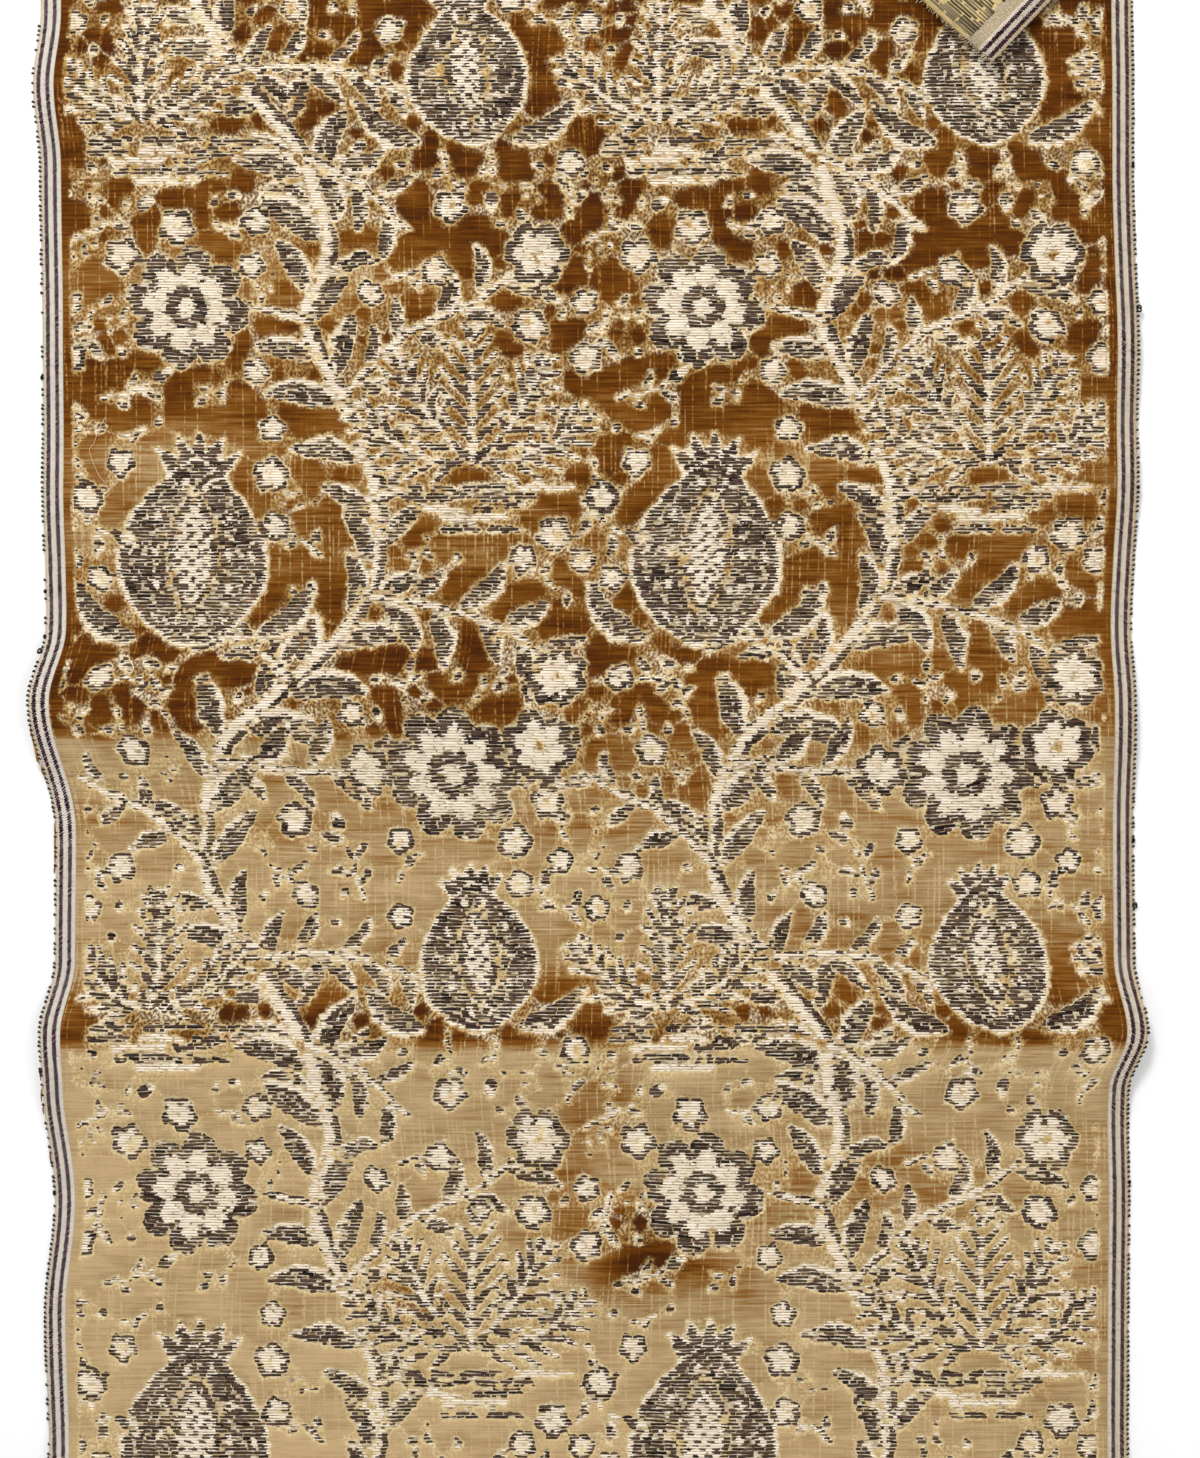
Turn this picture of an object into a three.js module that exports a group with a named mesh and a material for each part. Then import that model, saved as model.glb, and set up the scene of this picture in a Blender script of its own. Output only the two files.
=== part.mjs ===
// A length of metallic silk velvet, laid out face up on a flat surface.
// Millimetres, +Z up: X runs across the cloth from selvedge to selvedge, +Y runs along it to the
// end whose right corner is turned over, and the underside lies on Z = 0.

import * as THREE from 'three';
import { mergeVertices } from 'three/addons/utils/BufferGeometryUtils.js';

// Driving dimensions.

const WIDTH = 560;                 // loom width, over both selvedges
const LENGTH = 996;                // from cut end to cut end, as it lies
const VELVET_THICKNESS = 2.0;      // ground cloth and pile together
const SELVEDGE_WIDTH = 10.5;
const SELVEDGE_THICKNESS = 1.1;    // woven without pile
const SELVEDGE_STEP = 1.5;         // width over which the pile begins

const CORNER_TILT = THREE.MathUtils.degToRad(21.5);  // the fold's slope across the cloth
const CORNER_DEPTH = 104.4;        // from the cut corner to the fold, square to it
const BEND_RADIUS = 3.0;           // of the middle of the cloth in the turned fold
const BEND_STEPS = 6;
const FLAP_SETTLE = 42;            // length over which the flap comes down on the face
const FLAP_DROP = 2.4;             // how far it comes down there
const TIP_REACH = 60;              // length of the flap's tip that curls up
const TIP_LIFT = 3.0;

const ACROSS_STEP = 27;            // facet sizes
const ALONG_STEP_FLAT = 23;
const ALONG_STEP_FOLD = 8;
const FOLD_REACH = 62;             // length of fine facets on each side of a main fold's crest
const SNAP = 0.25;                 // a facet's corner this near a cut counts as on it
const MERGE_DISTANCE = 1e-4;

// The soft folds that the cloth kept from being stored. Each crest runs across the cloth:
// y is its place at the middle, rise how much further up it lies at the right selvedge than at the
// left, left and right its height at the two selvedges, far and near its reach above and below it.
const FOLDS = [
  { y: -24, rise: -8, left: 10.0, right: 5.0, far: 58, near: 46, main: true },
  { y: -189, rise: 13, left: 6.5, right: 10.0, far: 40, near: 56, main: true },
  { y: 303, rise: 10, left: 5.0, right: 0.0, far: 44, near: 40, main: false },
  { y: 172, rise: -12, left: 0.0, right: 4.5, far: 46, near: 48, main: false },
  { y: 96, rise: 9, left: 2.0, right: 3.5, far: 38, near: 42, main: false },
  { y: -421, rise: 6, left: 4.0, right: 2.0, far: 40, near: 38, main: false },
];

// Low hollows and swellings that don't reach across: centre, half-widths and height.
const SWELLINGS = [
  { x: 26, y: -300, reachX: 92, reachY: 44, height: 5.0 },
  { x: -98, y: -322, reachX: 60, reachY: 34, height: 3.0 },
  { x: 150, y: -98, reachX: 110, reachY: 34, height: 2.5 },
];

// How far each selvedge strays outwards from the straight, from the far end to the near end.
const SELVEDGE_RUN = [
  { y: 498, left: 0.0, right: 0.0 },
  { y: 340, left: 2.0, right: 0.0 },
  { y: 303, left: 5.0, right: 0.5 },
  { y: 262, left: 2.0, right: 0.5 },
  { y: 178, left: 1.0, right: 2.5 },
  { y: 100, left: 0.5, right: 2.5 },
  { y: 22, left: -1.0, right: -0.5 },
  { y: -14, left: 6.5, right: 1.0 },
  { y: -82, left: -6.0, right: 0.5 },
  { y: -148, left: -5.5, right: 1.0 },
  { y: -184, left: 1.5, right: 6.5 },
  { y: -214, left: 0.0, right: -2.5 },
  { y: -272, left: -5.5, right: -1.5 },
  { y: -330, left: -0.5, right: -2.0 },
  { y: -421, left: -3.0, right: -2.5 },
  { y: -498, left: -1.0, right: -1.5 },
];

// The fold of the turned corner: a point on it, its direction and the way square to it.

const corner = new THREE.Vector2(WIDTH / 2, LENGTH / 2);
const towardsCorner = new THREE.Vector2(Math.sin(CORNER_TILT), Math.cos(CORNER_TILT));
const foldPoint = corner.clone().addScaledVector(towardsCorner, -CORNER_DEPTH);
const bendLength = Math.PI * BEND_RADIUS;

// Distance past the fold of a place on the flat cloth, less than 0 on the part that stays down.
function pastFold(place) {
  return place.clone().sub(foldPoint).dot(towardsCorner);
}

function smooth(t) {
  const c = THREE.MathUtils.clamp(t, 0, 1);
  return c * c * (3 - 2 * c);
}

function strayAt(y, side) {
  const last = SELVEDGE_RUN.length - 1;
  const next = SELVEDGE_RUN.findIndex((row) => row.y <= y);
  if (next === 0) return SELVEDGE_RUN[0][side];
  if (next < 0) return SELVEDGE_RUN[last][side];
  const a = SELVEDGE_RUN[next - 1];
  const b = SELVEDGE_RUN[next];
  return THREE.MathUtils.lerp(a[side], b[side], smooth((a.y - y) / (a.y - b.y)));
}

// Height of the underside over the surface.
function liftAt(x, y) {
  let height = 0;
  for (const fold of FOLDS) {
    const across = x / WIDTH + 0.5;
    const fromCrest = y - (fold.y + fold.rise * (across - 0.5));
    const reach = fromCrest > 0 ? fold.far : fold.near;
    const t = Math.min(Math.abs(fromCrest) / reach, 1);
    const crest = THREE.MathUtils.lerp(fold.left, fold.right, across);
    height += crest * smooth(1 - t);
  }
  for (const swelling of SWELLINGS) {
    const t = Math.hypot((x - swelling.x) / swelling.reachX, (y - swelling.y) / swelling.reachY);
    height += swelling.height * smooth(1 - t);
  }
  return height;
}

function thicknessAt(u) {
  const inside = WIDTH / 2 - Math.abs(u) - SELVEDGE_WIDTH;
  return THREE.MathUtils.lerp(SELVEDGE_THICKNESS, VELVET_THICKNESS, smooth(inside / SELVEDGE_STEP));
}

// The flat cloth as a grid of panels, finer along the main folds.

function columns() {
  const inner = WIDTH / 2 - SELVEDGE_WIDTH - SELVEDGE_STEP;
  const count = Math.round((2 * inner) / ACROSS_STEP);
  const list = [-WIDTH / 2, -WIDTH / 2 + SELVEDGE_WIDTH];
  for (let i = 0; i <= count; i += 1) {
    list.push(-inner + (2 * inner * i) / count);
  }
  list.push(WIDTH / 2 - SELVEDGE_WIDTH, WIDTH / 2);
  return list;
}

function rows() {
  const list = [-LENGTH / 2];
  while (list[list.length - 1] < LENGTH / 2) {
    const y = list[list.length - 1];
    const near = FOLDS.some((fold) => fold.main && Math.abs(y - fold.y) < FOLD_REACH);
    const left = LENGTH / 2 - y;
    const step = near ? ALONG_STEP_FOLD : ALONG_STEP_FLAT;
    list.push(left < 1.5 * step ? LENGTH / 2 : y + step);
  }
  return list;
}

// Panels are lists of corner points. A line along the turned fold, at a distance past it, cuts
// each panel that it crosses in two.
function cutPanels(panels, offset) {
  const cut = [];
  for (const panel of panels) {
    const far = panel.map((place) => {
      const d = pastFold(place) - offset;
      return Math.abs(d) < SNAP ? 0 : d;
    });
    const above = [];
    const below = [];
    panel.forEach((place, i) => {
      const j = (i + 1) % panel.length;
      if (far[i] >= 0) above.push(place);
      if (far[i] <= 0) below.push(place);
      if (far[i] * far[j] < 0) {
        const crossing = place.clone().lerp(panel[j], far[i] / (far[i] - far[j]));
        above.push(crossing);
        below.push(crossing);
      }
    });
    if (above.length > 2 && Math.max(...far) > 0) cut.push(above);
    if (below.length > 2 && Math.min(...far) < 0) cut.push(below);
  }
  return cut;
}

function flatPanels() {
  const xs = columns();
  const ys = rows();
  let panels = [];
  for (let i = 0; i + 1 < xs.length; i += 1) {
    for (let j = 0; j + 1 < ys.length; j += 1) {
      panels.push([
        new THREE.Vector2(xs[i], ys[j]),
        new THREE.Vector2(xs[i + 1], ys[j]),
        new THREE.Vector2(xs[i + 1], ys[j + 1]),
        new THREE.Vector2(xs[i], ys[j + 1]),
      ]);
    }
  }
  for (let k = 0; k <= BEND_STEPS; k += 1) {
    panels = cutPanels(panels, (bendLength * k) / BEND_STEPS);
  }
  return panels;
}

// Where a place on the flat cloth lies: the underside's point and the face's point.
function lay(place) {
  const thickness = thicknessAt(place.x);
  const past = pastFold(place);
  if (past <= SNAP) {
    const across = place.x / WIDTH + 0.5;
    const stray = THREE.MathUtils.lerp(-strayAt(place.y, 'left'), strayAt(place.y, 'right'), across);
    const x = place.x + stray;
    const z = liftAt(place.x, place.y);
    return {
      back: new THREE.Vector3(x, place.y, z),
      face: new THREE.Vector3(x, place.y, z + thickness),
    };
  }
  // On the bend and the flap the middle of the cloth follows a half circle and then runs back.
  const foot = place.clone().addScaledVector(towardsCorner, -past);
  const turn = Math.min(past / BEND_RADIUS, Math.PI);
  const flap = Math.max(past - bendLength, 0);
  const reach = BEND_RADIUS * Math.sin(turn) - flap;
  const fromTip = place.distanceTo(corner);
  const settle = FLAP_DROP * smooth(flap / FLAP_SETTLE);
  const curl = TIP_LIFT * smooth(1 - fromTip / TIP_REACH);
  const height = VELVET_THICKNESS / 2 + BEND_RADIUS * (1 - Math.cos(turn)) - settle + curl;
  const middle = new THREE.Vector3(
    foot.x + towardsCorner.x * reach,
    foot.y + towardsCorner.y * reach,
    height,
  );
  const outward = new THREE.Vector3(
    -towardsCorner.x * Math.sin(turn),
    -towardsCorner.y * Math.sin(turn),
    Math.cos(turn),
  );
  return {
    back: middle.clone().addScaledVector(outward, -VELVET_THICKNESS / 2),
    face: middle.clone().addScaledVector(outward, thickness - VELVET_THICKNESS / 2),
  };
}

// The cloth as one closed solid: each panel gives a facet of the face and one of the underside,
// and the outline's edges, which only one panel has, give the wall between them.
function clothGeometry() {
  const places = [];
  const numbers = new Map();
  const numberOf = (place) => {
    const key = `${place.x.toFixed(4)} ${place.y.toFixed(4)}`;
    if (!numbers.has(key)) {
      numbers.set(key, places.length);
      places.push(place);
    }
    return numbers.get(key);
  };
  const loops = flatPanels().map((panel) => panel.map(numberOf));
  const laid = places.map(lay);
  const positions = [];
  const facet = (...points) => points.forEach((point) => positions.push(point.x, point.y, point.z));
  const edges = new Set();
  for (const loop of loops) {
    for (let i = 1; i + 1 < loop.length; i += 1) {
      const [a, b, c] = [laid[loop[0]], laid[loop[i]], laid[loop[i + 1]]];
      facet(a.face, b.face, c.face);
      facet(a.back, c.back, b.back);
    }
    loop.forEach((from, i) => edges.add(`${from} ${loop[(i + 1) % loop.length]}`));
  }
  for (const edge of edges) {
    const [from, to] = edge.split(' ').map(Number);
    if (edges.has(`${to} ${from}`)) continue;
    const a = laid[from];
    const b = laid[to];
    facet(a.face, a.back, b.back);
    facet(a.face, b.back, b.face);
  }
  const geometry = new THREE.BufferGeometry();
  geometry.setAttribute('position', new THREE.Float32BufferAttribute(positions, 3));
  return mergeVertices(geometry, MERGE_DISTANCE);
}

const velvet = new THREE.MeshStandardMaterial({
  name: 'metallic silk velvet',
  color: '#a9813f',
  roughness: 0.8,
  metalness: 0.1,
});

const panel = new THREE.Mesh(clothGeometry(), velvet);
panel.name = 'velvet_panel';

// The origin is the middle of the part's outline, on the surface that it lies on.
panel.geometry.computeBoundingBox();
const middle = panel.geometry.boundingBox.getCenter(new THREE.Vector3());
panel.position.set(-middle.x, -middle.y, 0);

const group = new THREE.Group();
group.name = 'metallic_velvet_panel';
group.add(panel);

export default group;
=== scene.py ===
import math

import bpy
import numpy as np
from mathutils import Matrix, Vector
from mathutils.geometry import delaunay_2d_cdt


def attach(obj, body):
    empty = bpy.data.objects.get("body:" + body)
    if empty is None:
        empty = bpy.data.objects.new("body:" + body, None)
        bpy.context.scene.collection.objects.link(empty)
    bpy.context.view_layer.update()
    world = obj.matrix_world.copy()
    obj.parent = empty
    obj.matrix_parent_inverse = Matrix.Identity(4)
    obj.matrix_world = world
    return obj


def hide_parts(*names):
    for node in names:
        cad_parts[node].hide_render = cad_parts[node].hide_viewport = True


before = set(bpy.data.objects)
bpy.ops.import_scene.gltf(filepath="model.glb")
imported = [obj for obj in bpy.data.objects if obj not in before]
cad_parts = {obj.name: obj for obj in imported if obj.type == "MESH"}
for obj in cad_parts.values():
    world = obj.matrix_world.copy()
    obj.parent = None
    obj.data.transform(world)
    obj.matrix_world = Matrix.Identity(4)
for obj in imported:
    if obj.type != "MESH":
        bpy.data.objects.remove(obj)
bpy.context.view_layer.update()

MM = 0.001

# The view. The cloth lies on a plain pale floor and is seen from straight above, a little right of
# its middle. One large soft lamp stands past the far end, and the room gives the rest of the light.
VIEW_LENGTH = 751.5 * MM        # of the floor, from the top of the picture to its foot
VIEW_CENTRE = (6.2 * MM, -28.9 * MM)
LENS = 70.0
SENSOR = 36.0

bpy.ops.object.select_all(action="DESELECT")
bpy.ops.object.camera_add(location=(*VIEW_CENTRE, LENS * VIEW_LENGTH / SENSOR), rotation=(0, 0, 0))
camera = bpy.context.object
camera.data.lens = LENS
camera.data.sensor_width = SENSOR
bpy.context.scene.camera = camera

bpy.ops.mesh.primitive_plane_add(size=8, location=(0, 0, -0.4 * MM))
floor = bpy.context.object
floor.name = "floor"
floor_paint = bpy.data.materials.new("floor_paint")
floor_paint.use_nodes = True
floor_paint.node_tree.nodes["Principled BSDF"].inputs["Base Color"].default_value = (0.93, 0.93, 0.93, 1)
floor_paint.node_tree.nodes["Principled BSDF"].inputs["Roughness"].default_value = 0.9
floor.data.materials.append(floor_paint)

LAMPS = [
    dict(name="key_lamp", place=(-0.5, 1.5, 1.7), size=0.6, watts=34),
    dict(name="fill_lamp", place=(1.3, -0.9, 1.9), size=1.6, watts=9),
]
for lamp in LAMPS:
    bpy.ops.object.light_add(type="AREA", location=lamp["place"])
    light = bpy.context.object
    light.name = lamp["name"]
    light.data.energy = lamp["watts"]
    light.data.size = lamp["size"]
    light.rotation_euler = Vector(lamp["place"]).to_track_quat("Z", "Y").to_euler()

room = bpy.data.worlds.new("room")
room.use_nodes = True
room.node_tree.nodes["Background"].inputs["Color"].default_value = (1, 1, 1, 1)
room.node_tree.nodes["Background"].inputs["Strength"].default_value = 0.64
bpy.context.scene.world = room
bpy.context.scene.view_settings.view_transform = "Standard"

# How the cloth lies. It is one loom-width length, laid out face up. It keeps soft cross folds from
# storage, its selvedges stray a little, and one far corner is turned over on the face. All of it is
# in millimetres: u runs across the flat cloth, v along it, and w up through its thickness.
WIDTH = 560.0
LENGTH = 996.0
THICKNESS = 2.0                 # ground cloth and pile
CORNER_TILT = math.radians(21.5)
CORNER_DEPTH = 104.4
BEND_RADIUS = 3.0
FLAP_SETTLE = 42.0
FLAP_DROP = 1.4
TIP_REACH = 60.0
TIP_LIFT = 4.8
OUTLINE_SHIFT = (0.05, -0.21)   # puts the middle of the laid outline on the origin

FOLDS = [
    dict(y=-24, rise=-8, left=10.0, right=5.0, far=58, near=46),
    dict(y=-189, rise=13, left=6.5, right=10.0, far=40, near=56),
    dict(y=303, rise=10, left=5.0, right=0.0, far=44, near=40),
    dict(y=172, rise=-12, left=0.0, right=4.5, far=46, near=48),
    dict(y=96, rise=9, left=2.0, right=3.5, far=38, near=42),
    dict(y=-421, rise=6, left=4.0, right=2.0, far=40, near=38),
    # fine creases, which only the visible cloth has
    dict(y=-68, rise=-3, left=0.5, right=0.1, far=9, near=7),
    dict(y=-82, rise=-4, left=0.6, right=0.2, far=8, near=9),
    dict(y=48, rise=5, left=0.6, right=0.5, far=14, near=12),
]
SWELLINGS = [
    dict(x=26, y=-300, reach_x=92, reach_y=44, height=5.0),
    dict(x=-98, y=-322, reach_x=60, reach_y=34, height=3.0),
    dict(x=150, y=-98, reach_x=110, reach_y=34, height=2.5),
]
SELVEDGE_RUN = [
    dict(y=-498, left=-1.0, right=-1.5),
    dict(y=-421, left=-3.0, right=-2.5),
    dict(y=-330, left=-0.5, right=-2.0),
    dict(y=-272, left=-5.5, right=-1.5),
    dict(y=-214, left=0.0, right=-2.5),
    dict(y=-184, left=1.5, right=6.5),
    dict(y=-148, left=-5.5, right=1.0),
    dict(y=-82, left=-6.0, right=0.5),
    dict(y=-14, left=6.5, right=1.0),
    dict(y=22, left=-1.0, right=-0.5),
    dict(y=100, left=0.5, right=2.5),
    dict(y=178, left=1.0, right=2.5),
    dict(y=262, left=2.0, right=0.5),
    dict(y=303, left=5.0, right=0.5),
    dict(y=340, left=2.0, right=0.0),
    dict(y=498, left=0.0, right=0.0),
]

towards_corner = np.array([math.sin(CORNER_TILT), math.cos(CORNER_TILT)])
fold_point = np.array([WIDTH / 2, LENGTH / 2]) - CORNER_DEPTH * towards_corner
bend_length = math.pi * BEND_RADIUS


def smooth(t):
    t = np.clip(t, 0, 1)
    return t * t * (3 - 2 * t)


def stray(v, side):
    places = np.array([row["y"] for row in SELVEDGE_RUN], float)
    outs = np.array([row[side] for row in SELVEDGE_RUN])
    i = np.clip(np.searchsorted(places, v) - 1, 0, len(places) - 2)
    share = smooth((v - places[i]) / (places[i + 1] - places[i]))
    return outs[i] + (outs[i + 1] - outs[i]) * share


def lift(u, v):
    """Height of the underside over the floor."""
    across = u / WIDTH + 0.5
    height = np.zeros_like(u)
    for fold in FOLDS:
        from_crest = v - fold["y"] - fold["rise"] * (across - 0.5)
        reach = np.where(from_crest > 0, fold["far"], fold["near"])
        crest = fold["left"] + (fold["right"] - fold["left"]) * across
        height += crest * smooth(1 - np.abs(from_crest) / reach)
    for rise in SWELLINGS:
        out = np.hypot((u - rise["x"]) / rise["reach_x"], (v - rise["y"]) / rise["reach_y"])
        height += rise["height"] * smooth(1 - out)
    return height


def past_fold(u, v):
    """How far past the turned corner's fold a place is, below 0 on the part that stays down."""
    return (u - fold_point[0]) * towards_corner[0] + (v - fold_point[1]) * towards_corner[1]


def lie(u, v, w):
    """Where places in the cloth lie in the frame, in metres."""
    past = past_fold(u, v)
    across = u / WIDTH + 0.5
    x = u - stray(v, "left") * (1 - across) + stray(v, "right") * across
    z = lift(u, v) + w
    turn = np.clip(past / BEND_RADIUS, 0, math.pi)
    flap = np.maximum(past - bend_length, 0)
    level = w - THICKNESS / 2
    along = (BEND_RADIUS - level) * np.sin(turn) - flap - past
    from_tip = np.hypot(u - WIDTH / 2, v - LENGTH / 2)
    height = THICKNESS / 2 + BEND_RADIUS * (1 - np.cos(turn)) + level * np.cos(turn)
    height += TIP_LIFT * smooth(1 - from_tip / TIP_REACH) - FLAP_DROP * smooth(flap / FLAP_SETTLE)
    over = past > 0
    x = np.where(over, u + towards_corner[0] * along, x) + OUTLINE_SHIFT[0]
    y = np.where(over, v + towards_corner[1] * along, v) + OUTLINE_SHIFT[1]
    return np.stack([x, y, np.where(over, height, z)], -1) * MM


# The figure's chart: one repeat of the design, as a draughtsman squares it for the loom. It is an
# old kind of pomegranate and fern figure on a leafy stem. Each square is pile, bare ground cloth,
# metal thread or cream silk, and the repeat joins itself on all sides.
REPEAT_ACROSS = 264.0
REPEAT_ALONG = 456.0
REPEAT_START = 210.0            # how far up the repeat the cloth's middle is
SQUARE = 0.5
PARTING = 1.6                   # of pile between two motifs
PILE, GROUND, METAL, CREAM = range(4)
CHART_SIZE = (round(REPEAT_ALONG / SQUARE), round(REPEAT_ACROSS / SQUARE))
weave = np.full(CHART_SIZE, PILE)


def around(x, y, reach):
    """The squares round a place, and how far right of it and up from it each one is."""
    columns = np.arange(int((x - reach) // SQUARE), int((x + reach) // SQUARE) + 1)
    rows = np.arange(int((y - reach) // SQUARE), int((y + reach) // SQUARE) + 1)
    right, up = np.meshgrid(columns * SQUARE - x, rows * SQUARE - y)
    return np.ix_(rows % CHART_SIZE[0], columns % CHART_SIZE[1]), right, up


def chart(squares, depth, kind):
    """Charts a motif, which is where depth is below 0, with pile left round it."""
    old = np.where(depth < PARTING, PILE, weave[squares])
    weave[squares] = np.where(depth < 0, kind, old)


def turned(right, up, turn, size=1.0):
    """The same places seen from a motif that leans turn degrees to the right, in its own size."""
    a = math.radians(turn)
    return (right * math.cos(a) - up * math.sin(a)) / size, (right * math.sin(a) + up * math.cos(a)) / size


def leaf(x, y, turn, length, width=0.36, bend=0.1, teeth=7, pale_side=1):
    squares, right, up = around(x, y, length * 1.1)
    u, v = turned(right, up, turn, length)
    along = np.clip(v, 0, 1)
    from_rib = (u - bend * np.sin(math.pi * along)) * length
    half = length * width / 2 * np.sin(math.pi * along ** 0.8) ** 0.8
    half *= 1 - 0.3 * (along * teeth % 1)
    depth = np.maximum(np.abs(from_rib) - half, np.maximum(-v, v - 1) * length)
    veins = (v * length / 8.0 - np.abs(from_rib) / 5.4) % 1 < 0.18
    kind = np.where(veins | (np.abs(from_rib) < 0.55), GROUND, METAL)
    kind = np.where((from_rib * pale_side > half * 0.55) | (v > 0.92), CREAM, kind)
    chart(squares, depth, kind)


def blossom(x, y, radius, petals=5, turn=0):
    squares, right, up = around(x, y, radius * 1.1)
    out = np.hypot(right, up)
    lobes = (np.arctan2(up, right) + math.radians(turn)) * petals / 2
    lobe = np.abs(np.cos(lobes)) ** 0.55
    rim = radius * (0.70 + 0.30 * lobe)
    petal = radius * (0.38 + 0.34 * lobe)
    kind = np.where(out < petal, CREAM, METAL)
    kind = np.where((out > radius * 0.3) & (np.abs(np.cos(lobes)) < 0.14), GROUND, kind)
    if radius > 20:
        inner = radius * (0.24 + 0.12 * np.abs(np.sin(lobes)) ** 0.55)
        kind = np.where(out < inner + 1.0, GROUND, kind)
        kind = np.where(out < inner, METAL, kind)
        kind = np.where(np.abs(out - rim + 1.6) < 0.6, GROUND, kind)
    kind = np.where(out < radius * 0.16, CREAM if radius > 20 else PILE, kind)
    chart(squares, out - rim, kind)


def pomegranate(x, y, turn, size):
    squares, right, up = around(x, y, size * 0.8)
    u, v = turned(right, up, turn, size)
    swell = np.sin(math.pi * np.clip(v + 0.5, 0, 1) ** 0.85) ** 0.75
    body = np.maximum(np.abs(u) - 0.40 * swell, np.abs(v) - 0.5) * size
    crown = np.full_like(u, size)
    for k in range(-2, 3):
        lobe_u, lobe_v = turned(u, v - 0.34, k * 24)
        swell = np.sin(math.pi * np.clip(lobe_v / 0.32, 0, 1) ** 0.7)
        lobe = np.maximum(np.abs(lobe_u) - 0.055 * swell, np.maximum(-lobe_v, lobe_v - 0.32))
        crown = np.minimum(crown, lobe * size)
    scales = np.sin((u * 8 + v * 5.6) * math.pi) * np.sin((u * 8 - v * 5.6) * math.pi)
    seeds = np.maximum(np.abs(u) - 0.13 * np.cos(v * 4.5), np.abs(v) - 0.3) * size
    kind = np.where(np.abs(scales) < 0.16, GROUND, METAL)
    kind = np.where(scales > 0.72, CREAM, kind)
    kind = np.where(body > -7.5, GROUND, kind)
    kind = np.where(body > -6.3, METAL, kind)
    kind = np.where(body > -2.2, CREAM, kind)
    kind = np.where(seeds < 2.0, PILE, kind)
    kind = np.where(seeds < 0, METAL, kind)
    grains = np.sin(v * size * 0.8) * np.cos(u * size * 0.9)
    kind = np.where(seeds < -2.6, np.where(grains > 0.3, METAL, CREAM), kind)
    kind = np.where(body > 0, np.where(crown < -1.4, METAL, CREAM), kind)
    chart(squares, np.minimum(body, crown), kind)


def bud(x, y, turn, length):
    squares, right, up = around(x, y, length * 1.1)
    u, v = turned(right, up, turn, length)
    half = 0.27 * np.sin(math.pi * np.clip(v, 0, 1) ** 0.62) ** 0.8
    depth = np.maximum(np.abs(u) - half, np.maximum(-v, v - 1)) * length
    kind = np.where(v < 0.46 + 0.12 * np.cos(u * 30), METAL, CREAM)
    chart(squares, depth, np.where(np.abs(v - 0.5 - 0.12 * np.cos(u * 30)) * length < 0.6, GROUND, kind))


def strokes(lines, kind, parting=PARTING):
    """Tapered strokes: x and y of the start, x and y of the run, and the width at each end."""
    for adding in (False, True):
        for x, y, run_x, run_y, start, end in lines:
            squares, right, up = around(x, y, math.hypot(run_x, run_y) + start + max(parting, 0))
            along = np.clip((right * run_x + up * run_y) / (run_x ** 2 + run_y ** 2), 0, 1)
            depth = np.hypot(right - along * run_x, up - along * run_y) - (start + (end - start) * along) / 2
            if adding:
                weave[squares] = np.where(depth < 0, kind, weave[squares])
            else:
                weave[squares] = np.where(depth < parting, PILE, weave[squares])


def curve_through(points, steps=8):
    p = np.array(points, float)
    p = np.vstack([2 * p[0] - p[1], p, 2 * p[-1] - p[-2]])
    t = np.linspace(0, 1, steps, endpoint=False)[:, None]
    runs = [
        p[i] + 0.5 * t * (p[i + 1] - p[i - 1] + t * (2 * p[i - 1] - 5 * p[i] + 4 * p[i + 1] - p[i + 2]
                                                     + t * (3 * (p[i] - p[i + 1]) + p[i + 2] - p[i - 1])))
        for i in range(1, len(p) - 2)
    ]
    return np.vstack([*runs, p[-2]])


def stem(points, start, end):
    line = curve_through(points)
    widths = np.linspace(start, end, len(line))
    runs = [(*a, *(b - a), v, w) for a, b, v, w in zip(line[:-1], line[1:], widths, widths[1:])]
    strokes(runs, METAL)
    lit = [(x - v * 0.2, y, run_x, run_y, v * 0.58, w * 0.58) for x, y, run_x, run_y, v, w in runs]
    strokes(lit, CREAM, -9)
    return line


def leafy_stem(points, start, end, gap, length, chance):
    line = stem(points, start, end)
    travelled = np.concatenate([[0], np.cumsum(np.hypot(*np.diff(line, axis=0).T))])
    at = gap * 0.6
    side = 1
    while at < travelled[-1] - gap * 0.4:
        x, y = (np.interp(at, travelled, line[:, k]) for k in (0, 1))
        ahead_x, ahead_y = (np.interp(at + 1, travelled, line[:, k]) for k in (0, 1))
        turn = math.degrees(math.atan2(ahead_x - x, ahead_y - y)) + side * chance.uniform(38, 66)
        off = start / 2 + 1.2
        leaf(
            x + off * math.sin(math.radians(turn)),
            y + off * math.cos(math.radians(turn)),
            turn,
            length * chance.uniform(0.75, 1.2),
            width=chance.uniform(0.36, 0.48),
            bend=-side * chance.uniform(0.06, 0.14),
            pale_side=-side,
        )
        side = -side
        at += gap * chance.uniform(0.75, 1.2)


def twig(x, y, turn, length, chance):
    """A slight twig across a gap: a bent stalk, small leaves on both sides and something at its tip."""
    heading = math.radians(90 - turn)
    bend = chance.uniform(-0.9, 0.9)
    points = [(x, y)]
    for k in range(4):
        heading += bend / 4
        x, y = points[-1]
        points.append((x + length / 4 * math.cos(heading), y + length / 4 * math.sin(heading)))
    leafy_stem(points, 2.8, 2.2, 8.0, 12, chance)
    if chance.uniform() < 0.6:
        blossom(*points[-1], chance.uniform(7.5, 9.5), petals=5, turn=turn)
    else:
        bud(*points[-1], 90 - math.degrees(heading), 12)


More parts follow.
